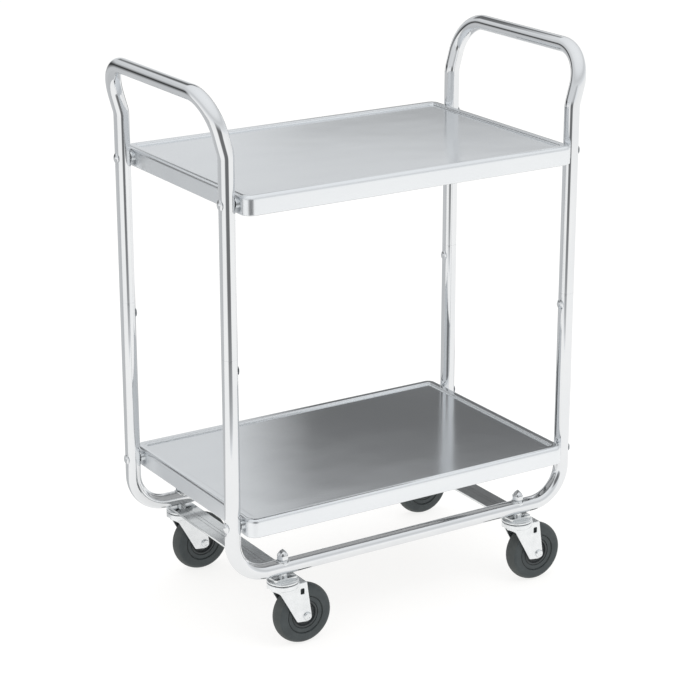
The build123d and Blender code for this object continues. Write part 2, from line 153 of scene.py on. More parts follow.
def settle(piece, body, slot, *nodes):
    """Rides a piece on its body and hides the CAD nodes it stands for.

    Weighted normals keep flat faces and straight runs evenly shaded next to narrow rounded edges.
    """
    even = piece.modifiers.new("even_shading", "WEIGHTED_NORMAL")
    even.keep_sharp = True
    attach(piece, body)
    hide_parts(*nodes)
    return piece


def join_rings(builder, rings, loop=False):
    """Faces between neighbouring rings. A ring of one vertex closes the surface to a point."""
    pairs = list(zip(rings, rings[1:]))
    if loop:
        pairs.append((rings[-1], rings[0]))
    for lower, upper in pairs:
        for i in range(max(len(lower), len(upper))):
            corners = [lower[i % len(lower)], lower[(i + 1) % len(lower)]]
            corners += [upper[(i + 1) % len(upper)], upper[i % len(upper)]]
            distinct = list(dict.fromkeys(corners))
            if len(distinct) > 2:
                builder.faces.new(distinct)


def lathe(builder, profile, place=Matrix(), sides=64, loop=False):
    """Turns (radius, height) points about Z. A radius may be a function of the angle."""
    rings = []
    for radius, height in profile:
        if not callable(radius) and radius == 0:
            rings.append([builder.verts.new(place @ Vector((0, 0, height)))])
            continue
        ring = []
        for i in range(sides):
            angle = math.tau * i / sides
            r = radius(angle) if callable(radius) else radius
            z = height(angle) if callable(height) else height
            ring.append(builder.verts.new(place @ Vector((r * math.cos(angle), r * math.sin(angle), z))))
        rings.append(ring)
    join_rings(builder, rings, loop)


def arc(centre, radius, start, end, steps):
    """(x, y) points along a circular arc, with angles in degrees."""
    angles = [math.radians(start + (end - start) * i / steps) for i in range(steps + 1)]
    return [(centre[0] + radius * math.cos(a), centre[1] + radius * math.sin(a)) for a in angles]


def round_corners(corners, radii, steps, closed=False):
    """Points along straight runs joined by tangent arcs. A radius of None leaves a corner sharp."""
    corners = [Vector(corner) for corner in corners]
    points = []
    for i, corner in enumerate(corners):
        at_end = not closed and i in (0, len(corners) - 1)
        if at_end or radii[i] is None:
            points.append(corner)
            continue
        way_in = (corner - corners[i - 1]).normalized()
        way_out = (corners[(i + 1) % len(corners)] - corner).normalized()
        turn = way_in.angle(way_out)
        start = corner - way_in * radii[i] * math.tan(turn / 2)
        across = (way_out - way_in * way_in.dot(way_out)).normalized()
        centre = start + across * radii[i]
        for step in range(steps + 1):
            angle = turn * step / steps
            points.append(centre + (way_in * math.sin(angle) - across * math.cos(angle)) * radii[i])
    return points


def facing(point, direction):
    """The placement that takes Z to a direction, at a point."""
    return Matrix.Translation(point) @ Vector(direction).to_track_quat("Z", "Y").to_matrix().to_4x4()


def plate(builder, outline, holes, thickness):
    """A flat plate in the XZ plane from y = 0 to its thickness, with holes through it."""
    edges = []
    for loop in (outline, *holes):
        verts = [builder.verts.new((x, 0, z)) for x, z in loop]
        edges += [builder.edges.new((verts[i - 1], verts[i])) for i in range(len(verts))]
    filled = bmesh.ops.triangle_fill(builder, edges=edges, use_beauty=True)
    faces = [item for item in filled["geom"] if isinstance(item, bmesh.types.BMFace)]
    grown = bmesh.ops.extrude_face_region(builder, geom=faces)
    moved = [item for item in grown["geom"] if isinstance(item, bmesh.types.BMVert)]
    bmesh.ops.translate(builder, verts=moved, vec=(0, thickness, 0))


def circle(centre_x, centre_z, radius, sides=40):
    return arc((centre_x, centre_z), radius, 0, 360 - 360 / sides, sides - 1)


def hexagon_radius(across, angle):
    """How far a hexagon's outline is from its centre at an angle."""
    from_flat = angle % math.radians(60) - math.radians(30)
    return across / 2 / math.cos(from_flat)


def hex_rings(across, bottom, top):
    """Lathe points up the outside of a hexagon with chamfered corners."""
    face_r = HEX_FACE_SHARE * across / 2

    def drop(angle):
        return (hexagon_radius(across, angle) - face_r) * math.tan(HEX_CHAMFER)

    return [
        (face_r, bottom),
        (lambda a: hexagon_radius(across, a), lambda a: bottom + drop(a)),
        (lambda a: hexagon_radius(across, a), lambda a: top - drop(a)),
        (face_r, top),
    ]


# ---- materials ----------------------------------------------------------
NOISE_LOW = 0.3
NOISE_HIGH = 0.7


def material(name, sockets):
    """A principled material with its plain values set on the shader's own sockets."""
    made = bpy.data.materials.new(name)
    made.use_nodes = True
    shader = made.node_tree.nodes["Principled BSDF"]
    for socket, value in sockets.items():
        shader.inputs[socket].default_value = value
    return made


def node(made, kind, **settings):
    """A node in a material, with its inputs and properties set by name."""
    made_node = made.node_tree.nodes.new(kind)
    for name, value in settings.items():
        if name in made_node.inputs:
            made_node.inputs[name].default_value = value
        else:
            setattr(made_node, name, value)
    return made_node


def link(made, source, target):
    made.node_tree.links.new(source, target)


def grain(made, scale, detail=4.0, rough=0.6):
    """Noise in object space, stretched by a scale on each axis. Returns its factor socket."""
    place = node(made, "ShaderNodeTexCoord")
    stretch = node(made, "ShaderNodeMapping", Scale=scale)
    pattern = node(made, "ShaderNodeTexNoise", Scale=1.0, Detail=detail, Roughness=rough)
    link(made, place.outputs["Object"], stretch.inputs["Vector"])
    link(made, stretch.outputs["Vector"], pattern.inputs["Vector"])
    return pattern.outputs["Fac"]


def map_range(made, value, from_low, from_high, to_low, to_high):
    """A value stretched from one range to another and kept inside it. Returns its socket."""
    stretch = node(made, "ShaderNodeMapRange")
    stretch.inputs["From Min"].default_value = from_low
    stretch.inputs["From Max"].default_value = from_high
    stretch.inputs["To Min"].default_value = to_low
    stretch.inputs["To Max"].default_value = to_high
    link(made, value, stretch.inputs["Value"])
    return stretch.outputs["Result"]


def vary(made, factor, low, high, socket):
    """Runs one of the shader's values between two limits by a noise factor."""
    spread = map_range(made, factor, NOISE_LOW, NOISE_HIGH, low, high)
    link(made, spread, made.node_tree.nodes["Principled BSDF"].inputs[socket])


def tint(made, factor, dark, light):
    """Mixes two colours by a noise factor into the base colour."""
    ramp = node(made, "ShaderNodeValToRGB")
    for element, place, colour in zip(ramp.color_ramp.elements, (NOISE_LOW, NOISE_HIGH), (dark, light)):
        element.position = place
        element.color = (*colour, 1)
    link(made, factor, ramp.inputs["Fac"])
    link(made, ramp.outputs["Color"], made.node_tree.nodes["Principled BSDF"].inputs["Base Color"])


def bump(made, factor, depth, strength=1.0, under=None):
    """A height pattern on the surface, over an earlier one."""
    relief = node(made, "ShaderNodeBump", Strength=strength, Distance=depth)
    link(made, factor, relief.inputs["Height"])
    if under:
        link(made, under.outputs["Normal"], relief.inputs["Normal"])
    link(made, relief.outputs["Normal"], made.node_tree.nodes["Principled BSDF"].inputs["Normal"])
    return relief


def chrome_plate():
    """Bright plate: nearly clear reflections, faint polishing haze and handling marks."""
    made = material("chrome_plate", {"Metallic": 1.0})
    haze = grain(made, (28, 28, 12), detail=5)
    vary(made, haze, 0.03, 0.08, "Roughness")
    tint(made, grain(made, (14, 14, 9)), (0.745, 0.76, 0.775), (0.785, 0.795, 0.805))
    bump(made, grain(made, (90, 90, 40), detail=2), 0.00002, 0.5)
    return made


def painted_shade_underneath(made, upward):
    """Darkens the base colour where the sheet faces down: painted shade, standing in for the shaded floor
    that the underside would mirror.
    """
    shader = made.node_tree.nodes["Principled BSDF"]
    polished = shader.inputs["Base Color"].links[0].from_socket
    facing_down = map_range(made, upward, -0.9, -0.4, 1.0, 0.0)
    mix = node(made, "ShaderNodeMix", data_type="RGBA")
    # A colour mix has its factor at input 0, its colours at inputs 6 and 7, and its result at output 2.
    factor, first, second = (mix.inputs[i] for i in (0, 6, 7))
    # The painted shade colour on the faces that look down.
    second.default_value = (0.45, 0.455, 0.46, 1)
    link(made, facing_down, factor)
    link(made, polished, first)
    link(made, mix.outputs[2], shader.inputs["Base Color"])


def steepness(made, parts, axis, low, high):
    """How far a surface faces along an axis, either way, from 0 at low to 1 at high."""
    size = node(made, "ShaderNodeMath", operation="ABSOLUTE")
    link(made, parts.outputs[axis], size.inputs[0])
    return map_range(made, size.outputs[0], low, high, 0.0, 1.0)


def stainless_sheet():
    """Brushed sheet: fine streaks along X on the floor and long sides, along Y on the ends.

    Handling has polished the floor and rim brighter than the skirts.
    """
    made = material("stainless_sheet", {"Metallic": 1.0})
    lengthwise, crosswise = 12, 3600
    along_x = grain(made, (lengthwise, crosswise, crosswise), detail=3, rough=0.7)
    along_y = grain(made, (crosswise, lengthwise, crosswise), detail=3, rough=0.7)
    surface = node(made, "ShaderNodeNewGeometry")
    parts = node(made, "ShaderNodeSeparateXYZ")
    link(made, surface.outputs["Normal"], parts.inputs["Vector"])
    on_ends = steepness(made, parts, "X", 0.6, 0.8)
    on_floor = steepness(made, parts, "Z", 0.3, 0.95)
    # A number mix has its factor at input 0, its numbers at inputs 2 and 3, and its result at output 0.
    streaks = node(made, "ShaderNodeMix", data_type="FLOAT")
    link(made, on_ends, streaks.inputs[0])
    link(made, along_x, streaks.inputs[2])
    link(made, along_y, streaks.inputs[3])
    skirt_rough, floor_rough, streak_rough = 0.24, 0.09, 0.12
    smoothest = map_range(made, on_floor, 0.0, 1.0, skirt_rough, floor_rough)
    rough = node(made, "ShaderNodeMath", operation="MULTIPLY_ADD")
    rough.inputs[1].default_value = streak_rough
    link(made, streaks.outputs[0], rough.inputs[0])
    link(made, smoothest, rough.inputs[2])
    link(made, rough.outputs[0], made.node_tree.nodes["Principled BSDF"].inputs["Roughness"])
    tint(made, grain(made, (4, 12, 12), detail=6), (0.775, 0.795, 0.815), (0.805, 0.825, 0.84))
    # Painted shade on the faces that look down.
    painted_shade_underneath(made, parts.outputs["Z"])
    bump(made, streaks.outputs[0], 0.000006, 0.4)
    return made


def zinc_plate(name="zinc_plate", dark=(0.76, 0.78, 0.79), light=(0.84, 0.855, 0.865), low=0.20, high=0.29):
    """Bright zinc: a soft crystalline mottle and slightly uneven gloss."""
    made = material(name, {"Metallic": 1.0})
    mottle = grain(made, (420, 420, 420), detail=4, rough=0.6)
    vary(made, mottle, low, high, "Roughness")
    tint(made, grain(made, (70, 70, 70), detail=4), dark, light)
    bump(made, mottle, 0.000008, 0.3)
    return made


def bearing_steel():
    """Ground and polished ball steel with a film of grease."""
    made = material("bearing_steel", {"Metallic": 1.0})
    film = grain(made, (220, 220, 220))
    vary(made, film, 0.08, 0.25, "Roughness")
    tint(made, film, (0.52, 0.51, 0.49), (0.68, 0.68, 0.68))
    return made


def rubber(name, dark, light, rough_low, rough_high, depth):
    """Moulded rubber with a fine skin texture and dust in its low spots."""
    made = material(name, {"Specular IOR Level": 0.35})
    dust = grain(made, (55, 55, 55), detail=6, rough=0.7)
    skin = grain(made, (1500, 1500, 1500), detail=2)
    vary(made, dust, rough_low, rough_high, "Roughness")
    tint(made, dust, dark, light)
    bump(made, skin, depth, 0.6, bump(made, dust, 0.0001, 0.3))
    return made


def hub_core():
    """Dark moulded core with a satin skin."""
    made = material("hub_core", {"Specular IOR Level": 0.4})
    skin = grain(made, (300, 300, 300), detail=4)
    vary(made, skin, 0.42, 0.6, "Roughness")
    tint(made, skin, (0.040, 0.045, 0.047), (0.056, 0.062, 0.064))
    bump(made, skin, 0.00004, 0.5)
    return made


CHROME = chrome_plate()
STAINLESS = stainless_sheet()
ZINC = zinc_plate()
# A darker, glossier copy of the zinc for the cross bars: painted shade for the bars and the gap under the
# rail.
ZINC_BAR_SHADED = zinc_plate("zinc_bar_shaded", (0.70, 0.72, 0.725), (0.77, 0.785, 0.79), 0.12, 0.2)
BALL_STEEL = bearing_steel()
RUBBER_SIDE = rubber("rubber_side", (0.040, 0.048, 0.050), (0.062, 0.072, 0.074), 0.48, 0.64, 0.00005)
# The tread is rougher than the sides, and its lighter tone is painted light for the rim light along the
# tread.
RUBBER_TREAD = rubber("rubber_tread", (0.052, 0.058, 0.058), (0.080, 0.088, 0.085), 0.62, 0.8, 0.00012)
HUB = hub_core()


# ---- frame tubes --------------------------------------------------------
def with_dimple_points(points, heights):
    """Adds closely spaced points to upright runs where the tube is pressed."""
    dense = [points[0]]
    for start, end in zip(points, points[1:]):
        if abs(end.z - start.z) > 2 * DIMPLE_REACH and abs(end.x - start.x) < MM:
            low, high = sorted((start.z, end.z))
            extra = []
            count = int(DIMPLE_REACH / DIMPLE_STEP)
            for height in heights:
                extra += [height + DIMPLE_STEP * i for i in range(-count, count + 1)]
            extra = sorted(z for z in extra if low < z < high)
            if end.z < start.z:
                extra.reverse()
            dense += [Vector((start.x, start.y, z)) for z in extra]
        dense.append(end)
    return dense


def ring_frames(points):
    """A direction and a carried-along side vector at each point of a path."""
    frames = []
    side = None
    for i, point in enumerate(points):
        before = points[max(i - 1, 0)]
        after = points[min(i + 1, len(points) - 1)]
        along = (after - before).normalized()
        if side is None:
            side = along.orthogonal().normalized()
        side = (side - along * side.dot(along)).normalized()
        frames.append((point, along, side))
    return frames


def press_flats(vert, flats):
    """Moves a tube's vertex in to the soft-edged flats near the bolts, if it lies on one."""
    side = math.copysign(1, vert.co.x)
    out = (vert.co.x - side * LEG_X) * side
    for height, faces in flats:
        away = vert.co.z - height
        if abs(away) > DIMPLE_REACH:
            continue
        limit = TUBE_R - DIMPLE_DEPTH + DIMPLE_R - math.sqrt(DIMPLE_R**2 - away**2)
        for face in faces:
            reach = out * face
            if reach < 0.5 * TUBE_R:
                continue
            gap = reach - limit
            pressed = (reach + limit - math.sqrt(gap**2 + DIMPLE_SOFT**2)) / 2
            vert.co.x = side * (LEG_X + face * min(reach, pressed))


def tube(name, body_points, flats):
    """A hollow bent tube, with its ends slightly broken and its flats pressed in.

    The flats are (height, faces) pairs, with 1 for a leg's outer face and -1 for its inner one.
    """
    builder = bmesh.new()
    points = with_dimple_points(body_points, [height for height, faces in flats])
    frames = ring_frames(points)
    outer = [(frame, TUBE_R) for frame in frames]
    for index, (point, along, side), inwards in ((1, frames[0], 1), (-1, frames[-1], -1)):
        outer.insert(index, ((point + along * TUBE_EDGE * inwards, along, side), TUBE_R))
    outer[0] = (frames[0], TUBE_R - TUBE_EDGE)
    outer[-1] = (frames[-1], TUBE_R - TUBE_EDGE)
    inner = [(frame, TUBE_R - TUBE_WALL) for frame in reversed(frames)]
    rings = []
    for (point, along, side), radius in outer + inner:
        up = along.cross(side)
        ring = []
        for i in range(TUBE_SIDES):
            angle = math.tau * i / TUBE_SIDES
            offset = side * math.cos(angle) + up * math.sin(angle)
            ring.append(builder.verts.new(point + offset * radius))
        rings.append(ring)
    join_rings(builder, rings, loop=True)
    for ring in rings[: len(outer)]:
        for vert in ring:
            press_flats(vert, flats)
    return new_piece(name, builder, CHROME, sharp=50)


def handle_bow(side_name):
    """One end's handle and upper legs, leaning outwards above the upper shelf."""
    side = SIDES[side_name]
    leg_x, top_x = side * LEG_X, side * HANDLE_X
    corners = [
        (leg_x, -LEG_Y, SPLICE_Z),
        (leg_x, -LEG_Y, LEAN_Z),
        (top_x, -LEG_Y, HANDLE_Z),
        (top_x, LEG_Y, HANDLE_Z),
        (leg_x, LEG_Y, LEAN_Z),
        (leg_x, LEG_Y, SPLICE_Z),
    ]
    points = round_corners(corners, [None, LEAN_R, BEND_R, BEND_R, LEAN_R, None], BEND_STEPS)
    piece = tube(f"{side_name}_handle_tube", points, [(BOLT_Z["upper"], (1, -1))])
    settle(piece, "root", "chrome_plate", f"{side_name}_handle_bow")


def base_frame(end_name):
    """One long side's bottom rail and lower legs."""
    y = ENDS[end_name] * LEG_Y
    corners = [(-LEG_X, y, SPLICE_Z), (-LEG_X, y, RAIL_Z), (LEG_X, y, RAIL_Z), (LEG_X, y, SPLICE_Z)]
    points = round_corners(corners, [None, BEND_R, BEND_R, None], BEND_STEPS)
    piece = tube(f"{end_name}_base_tube", points, [(BOLT_Z["lower"], (1, -1)), (SPLICE_BOLT_Z, (-1,))])
    settle(piece, "root", "chrome_plate", f"{end_name}_base_frame")


# ---- shelves ------------------------------------------------------------
SHEET = 1.2 * MM
SHELF_CORNER_R = 17 * MM
SUNK_CORNER_R = 5 * MM
SHELF_RIM = 15 * MM
SHELF_RECESS = 3.5 * MM
SHELF_LIP = 9 * MM
LIP_ROUND = 2.0 * MM
RIM_ROUND = 7 * MM
RIM_INNER_ROUND = 1.3 * MM
FLOOR_COVE = 2 * MM
CORNER_STEPS = 10
LONG_STEPS = 60
SHORT_STEPS = 40
FLOOR_RINGS = 36
FLOOR_WAVE = 0.22 * MM
FLOOR_EASE = 40 * MM
MIN_CORNER_R = 0.5 * MM


def tray_ring(builder, half_x, half_y, corner_r, height_at):
    """A ring round a rectangle with rounded corners, always with the same number of vertices."""
    corner_r = max(min(corner_r, half_y * 0.9), MIN_CORNER_R)
    spots = []
    corners = ((1, 1, 0), (-1, 1, 90), (-1, -1, 180), (1, -1, 270))
    for index, (sx, sy, start) in enumerate(corners):
        centre = (sx * (half_x - corner_r), sy * (half_y - corner_r))
        turned_corner = arc(centre, corner_r, start, start + 90, CORNER_STEPS)
        spots += turned_corner
        next_x, next_y, next_start = corners[(index + 1) % 4]
        next_centre = (next_x * (half_x - corner_r), next_y * (half_y - corner_r))
        target = arc(next_centre, corner_r, next_start, next_start + 90, CORNER_STEPS)[0]
        steps = LONG_STEPS if index % 2 == 0 else SHORT_STEPS
        last = turned_corner[-1]
        for i in range(1, steps):
            t = i / steps
            spots.append((last[0] + (target[0] - last[0]) * t, last[1] + (target[1] - last[1]) * t))
    return [builder.verts.new((x, y, height_at(x, y))) for x, y in spots]


def tray_profile(top, bottom):
    """(inset, height) points over the tray's outer skin, from the lip's edge to the floor."""
    floor = top - SHELF_RECESS
    points = [(SHELF_LIP, bottom)]
    points += [(LIP_ROUND - x, bottom + LIP_ROUND - z) for x, z in arc((0, 0), LIP_ROUND, 90, 0, 5)]
    points += [(RIM_ROUND - x, top - RIM_ROUND + z) for x, z in arc((0, 0), RIM_ROUND, 0, 90, 12)]
    inner = SHELF_RIM - RIM_INNER_ROUND
    points += [(inner + x, top - RIM_INNER_ROUND + z) for x, z in arc((0, 0), RIM_INNER_ROUND, 90, 0, 5)]
    cove = SHELF_RIM + FLOOR_COVE
    points += [(cove - x, floor + FLOOR_COVE - z) for x, z in arc((0, 0), FLOOR_COVE, 0, 90, 7)]
    return points


def shelf(level):
    """A pressed tray with a faintly uneven floor, as rolled sheet has."""
    low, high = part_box(f"{level}_shelf")
    half_x, half_y = high.x, high.y
    builder = bmesh.new()
    rings = []
    profile = tray_profile(high.z, low.z)
    for inset, height in profile:
        corner_r = max(SHELF_CORNER_R - inset, SUNK_CORNER_R)
        rings.append(tray_ring(builder, half_x - inset, half_y - inset, corner_r, lambda x, y: height))
    floor_inset, floor_z = profile[-1]
    seed = 3.0 if level == "upper" else 11.0
    reach = half_y - floor_inset - 2 * MM

    def floor_height(x, y):
        edge = min(half_x - abs(x), half_y - abs(y)) - floor_inset
        ease = min(max(edge / FLOOR_EASE, 0), 1)
        ease = ease * ease * (3 - 2 * ease)
        broad = noise.noise(Vector((x * 7, y * 9, seed)))
        fine = noise.noise(Vector((x * 19, y * 23, seed)))
        wave = broad + 0.4 * fine
        return floor_z + FLOOR_WAVE * ease * wave

    for i in range(1, FLOOR_RINGS + 1):
        inset = floor_inset + reach * i / FLOOR_RINGS
        rings.append(tray_ring(builder, half_x - inset, half_y - inset, SUNK_CORNER_R, floor_height))
    join_rings(builder, rings)
    builder.faces.new(rings[-1])
    piece = new_piece(f"{level}_tray", builder, STAINLESS, sharp=60)
    thicken = piece.modifiers.new("sheet", "SOLIDIFY")
    thicken.thickness = SHEET
    thicken.offset = -1
    settle(piece, "root", "stainless_sheet", f"{level}_shelf")


# ---- fasteners on the legs ----------------------------------------------
HEAD_FLANGE = 0.5 * MM
SHANK_CHAMFER = 0.5 * MM
SHELF_NUT_HEIGHT = 6.5 * MM
SHANK_PAST_NUT = 2 * MM
SPLICE_SHANK = 5 * MM


def dome_bolt(builder, seat, outwards, length):
    """A dome head with a narrow flange edge, on a plain shank."""
    rise = HEAD_HEIGHT - HEAD_FLANGE
    ball_r = (HEAD_R**2 + rise**2) / (2 * rise)
    half = math.degrees(math.asin(HEAD_R / ball_r))
    dome = arc((0, HEAD_HEIGHT - ball_r), ball_r, 90 - half, 90, 10)[:-1]
    profile = [(0, -length), (BOLT_R - SHANK_CHAMFER, -length)]
    profile += [(BOLT_R, -length + SHANK_CHAMFER), (BOLT_R, 0)]
    profile += [(HEAD_R - 0.3 * MM, 0), (HEAD_R, 0.15 * MM), *dome, (0, HEAD_HEIGHT)]
    lathe(builder, profile, facing(seat, outwards), sides=48)


def hex_nut(builder, bore, height, place):
    """A plain hexagon nut standing on Z = 0 of a placement."""
    profile = [(bore, 0), *hex_rings(NUT_ACROSS, 0, height), (bore, height)]
    lathe(builder, profile, place, sides=48, loop=True)


def leg_fasteners():
    """The shelf bolts through the legs, and the bolts half way up them."""
    shelf_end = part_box("upper_shelf")[1].x
    flat_out = TUBE_R - DIMPLE_DEPTH
    bolts = bmesh.new()
    nuts = bmesh.new()
    splices = bmesh.new()
    for side, end in LEGS:
        for level in LEVELS:
            seat = Vector((side * (LEG_X + flat_out), end * LEG_Y, BOLT_Z[level]))
            nut_seat = Vector((side * (shelf_end - SHEET), end * LEG_Y, BOLT_Z[level]))
            length = abs(seat.x - nut_seat.x) + SHELF_NUT_HEIGHT + SHANK_PAST_NUT
            dome_bolt(bolts, seat, (side, 0, 0), length)
            hex_nut(nuts, BOLT_R, SHELF_NUT_HEIGHT, facing(nut_seat, (-side, 0, 0)))
        seat = Vector((side * (LEG_X - flat_out), end * LEG_Y, SPLICE_BOLT_Z))
        dome_bolt(splices, seat, (-side, 0, 0), SPLICE_SHANK)
    settle(new_piece("shelf_bolt_set", bolts, CHROME), "root", "chrome_plate", "shelf_bolts")
    settle(new_piece("shelf_nut_set", nuts, ZINC), "root", "zinc_plate", "shelf_nuts")
    settle(new_piece("splice_bolt_set", splices, CHROME), "root", "chrome_plate", "splice_bolts")


# ---- cross bars, washers and cap nuts -----------------------------------
BAR_CORNER = 3.5 * MM
BAR_EDGE = 0.45 * MM
WASHER_R = 11.3 * MM
WASHER_THICK = 1.2 * MM
WASHER_EDGE = 0.3 * MM
WASHER_SIDES = 48
CAP_ACROSS = 17.5 * MM
CAP_HEX = 7.5 * MM
CAP_BULGE = 1.1 * MM
CAP_SHOULDER_SHARE = 0.955
CAP_TIP_R = 1.2 * MM
CAP_BORE_TOP = 160 * MM
CAP_STEPS = 16


def cross_bar(side_name):
    """A flat bar with clipped corners and slightly broken edges."""
    low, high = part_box(f"{side_name}_cross_bar")
    outline = []
    for corner_x, corner_y in ((low.x, low.y), (high.x, low.y), (high.x, high.y), (low.x, high.y)):
        inward_x = BAR_CORNER if corner_x == low.x else -BAR_CORNER
        inward_y = BAR_CORNER if corner_y == low.y else -BAR_CORNER
        cut = [(corner_x, corner_y + inward_y), (corner_x + inward_x, corner_y)]
        if (inward_x > 0) != (inward_y > 0):
            cut.reverse()
        outline += cut
    centre_x = (low.x + high.x) / 2
    holes = [circle(centre_x, end * LEG_Y, STEM_HOLE_R) for end in ENDS.values()]
    builder = bmesh.new()
    plate(builder, outline, holes, high.z - low.z)
    for vert in builder.verts:
        vert.co = (vert.co.x, vert.co.z, low.z + vert.co.y)
    # The bars take the darker zinc copy, which is painted shade.
    piece = new_piece(f"{side_name}_bar", builder, ZINC_BAR_SHADED, sharp=30)
    soften = piece.modifiers.new("edges", "BEVEL")
    soften.width = BAR_EDGE
    soften.segments = 2
    soften.limit_method = "ANGLE"
    settle(piece, "root", "zinc_plate", f"{side_name}_cross_bar")


def saddle_height(y, lift):
    """Height over the rail's axis of a surface lifted off the rail, at a distance across it."""
    return RAIL_Z + math.sqrt((TUBE_R + lift) ** 2 - y * y)


def saddle_washer(builder, centre):
    """A washer curved to sit on top of the rail."""
    broken_r = WASHER_R - WASHER_EDGE
    section = [(STEM_HOLE_R, 0), (STEM_HOLE_R, WASHER_THICK), (broken_r, WASHER_THICK)]
    section += [(WASHER_R, WASHER_THICK - WASHER_EDGE), (WASHER_R, 0.1 * MM), (WASHER_R - 0.2 * MM, 0)]
    rings = []
    for radius, lift in section:
        ring = []
        for i in range(WASHER_SIDES):
            angle = math.tau * i / WASHER_SIDES
            x, y = radius * math.cos(angle), radius * math.sin(angle)
            ring.append(builder.verts.new(centre + Vector((x, y, saddle_height(y, lift)))))
        rings.append(ring)
    join_rings(builder, rings, loop=True)


def cap_nut(builder, centre):
    """A hexagon below a bulging point, bored from underneath."""
    seat, top = cap_low.z, cap_high.z
    hex_top = seat + CAP_HEX
    shoulder_r = CAP_SHOULDER_SHARE * CAP_ACROSS / 2
    side_top = top - 0.4 * MM
    side_curve = []
    for i in range(CAP_STEPS + 1):
        t = i / CAP_STEPS
        radius = shoulder_r + (CAP_TIP_R - shoulder_r) * t + CAP_BULGE * math.sin(math.pi * t)
        side_curve.append((radius, hex_top + (side_top - hex_top) * t))
    profile = [(0, CAP_BORE_TOP), (STEM_R, CAP_BORE_TOP), (STEM_R, seat)]
    profile += hex_rings(CAP_ACROSS, seat, hex_top)[:3]
    profile += [*side_curve, (CAP_TIP_R * 0.6, top - 0.1 * MM), (0, top)]
    lathe(builder, profile, Matrix.Translation(centre), sides=60)


def rail_tops():
    """The curved washers and the pointed cap nuts over the four stems."""
    washers = bmesh.new()
    caps = bmesh.new()
    for side, end in LEGS:
        centre = Vector((side * STEM_X, end * LEG_Y, 0))
        saddle_washer(washers, centre)
        cap_nut(caps, centre)
    settle(new_piece("saddle_washer_set", washers, ZINC), "root", "zinc_plate", "saddle_washers")
    settle(new_piece("cap_nut_set", caps, CHROME, sharp=28), "root", "chrome_plate", "cap_nuts")


# ---- casters ------------------------------------------------------------
FORK_SHEET = 2.8 * MM
CUP_WALL = 2.4 * MM
CROWN_TOP = 107.2 * MM
CROWN_BOTTOM = 103.6 * MM
CROWN_ROUND = 4 * MM
SHOULDER_TOP = 111 * MM
FORK_BACK_X = 34 * MM
KNEE_X = -17.0 * MM
KNEE_R = 12 * MM
FLARE_X = -25 * MM
TOE_X = 15.6 * MM
TOE_DROP = 7.2 * MM
HEEL_X = 44 * MM
HEEL_DROP = 10.6 * MM
TOE_R = 5 * MM
HEEL_R = 9 * MM
WINDOW_X = 25.5 * MM
WINDOW_Z = 96 * MM
WINDOW_LENGTH = 7 * MM
WINDOW_HEIGHT = 10 * MM
WINDOW_R = 1 * MM
SHOULDER_R = 2 * MM
FLARE_FOOT = CROWN_BOTTOM - 0.4 * MM
FLARE_CUTS = 8
TYRE_RING_R = 33 * MM
TYRE_SUNK = 1.6 * MM
TYRE_GROOVE = 1.1 * MM
TYRE_BEAD = 2.4 * MM
TREAD_CROWN_R = 20 * MM
TREAD_SHOULDER_R = 7 * MM
TREAD_FACING = 0.7
BOSS_R = 10.5 * MM
HUB_WEB = 7 * MM
HUB_RIM = 11.5 * MM
RACE_BOSS_R = 22 * MM
RACE_BOSS_FOOT = 111.6 * MM
RACE_NECK = 2.2 * MM
RACE_ROUND = 1.4 * MM
RACE_SLOPE = 1.2 * MM
AXLE_HEAD_R = 7 * MM
AXLE_HEAD = 3.4 * MM
AXLE_HEAD_ROUND = 2.2 * MM
AXLE_PAST_NUT = 2 * MM
FORK_VOXEL = 0.75 * MM
FORK_SMOOTHING = 3


def merge(builder, part):
    """Adds one bmesh to another and frees it."""
    carrier = bpy.data.meshes.new("carrier")
    part.to_mesh(carrier)
    part.free()
    builder.from_mesh(carrier)
    bpy.data.meshes.remove(carrier)


def fork_leg(builder, side):
    """One leg: flat at the wheel, wrapped round the cup at its front top edge."""
    corners = [
        (FLARE_X, 0, CROWN_TOP),
        (FLARE_X, 0, FLARE_FOOT),
        (KNEE_X, 0, FLARE_FOOT),
        (TOE_X, 0, WHEEL_R - TOE_DROP),
        (HEEL_X, 0, WHEEL_R - HEEL_DROP),
        (FORK_BACK_X, 0, SHOULDER_TOP),
        (KNEE_X, 0, SHOULDER_TOP),
        (KNEE_X, 0, CROWN_TOP),
    ]
    radii = [None, None, KNEE_R, TOE_R, HEEL_R, SHOULDER_R, None, None]
    outline = [(p.x, p.z) for p in round_corners(corners, radii, 8, closed=True)]
    half_x, half_z = WINDOW_LENGTH / 2, WINDOW_HEIGHT / 2
    window_corners = [(x * half_x, 0, z * half_z) for x, z in ((-1, -1), (1, -1), (1, 1), (-1, 1))]
    window = round_corners(window_corners, [WINDOW_R] * 4, 3, closed=True)
    holes = [[(WINDOW_X + p.x, WINDOW_Z + p.z) for p in window], circle(TRAIL, WHEEL_R, AXLE_R)]
    leg = bmesh.new()
    plate(leg, outline, holes, FORK_SHEET)
    wrap_x = -math.sqrt(RACE_R**2 - FORK_OUTER**2)
    for i in range(FLARE_CUTS):
        x = FLARE_X + (wrap_x - FLARE_X) * i / FLARE_CUTS
        geometry = [*leg.verts, *leg.edges, *leg.faces]
        bmesh.ops.bisect_plane(leg, geom=geometry, plane_co=(x, 0, 0), plane_no=(1, 0, 0))
    for vert in leg.verts:
        x = vert.co.x
        outer_y = FORK_OUTER if x > wrap_x else math.sqrt(max(RACE_R**2 - x * x, 0))
        vert.co.y = side * (outer_y - vert.co.y)
    merge(builder, leg)


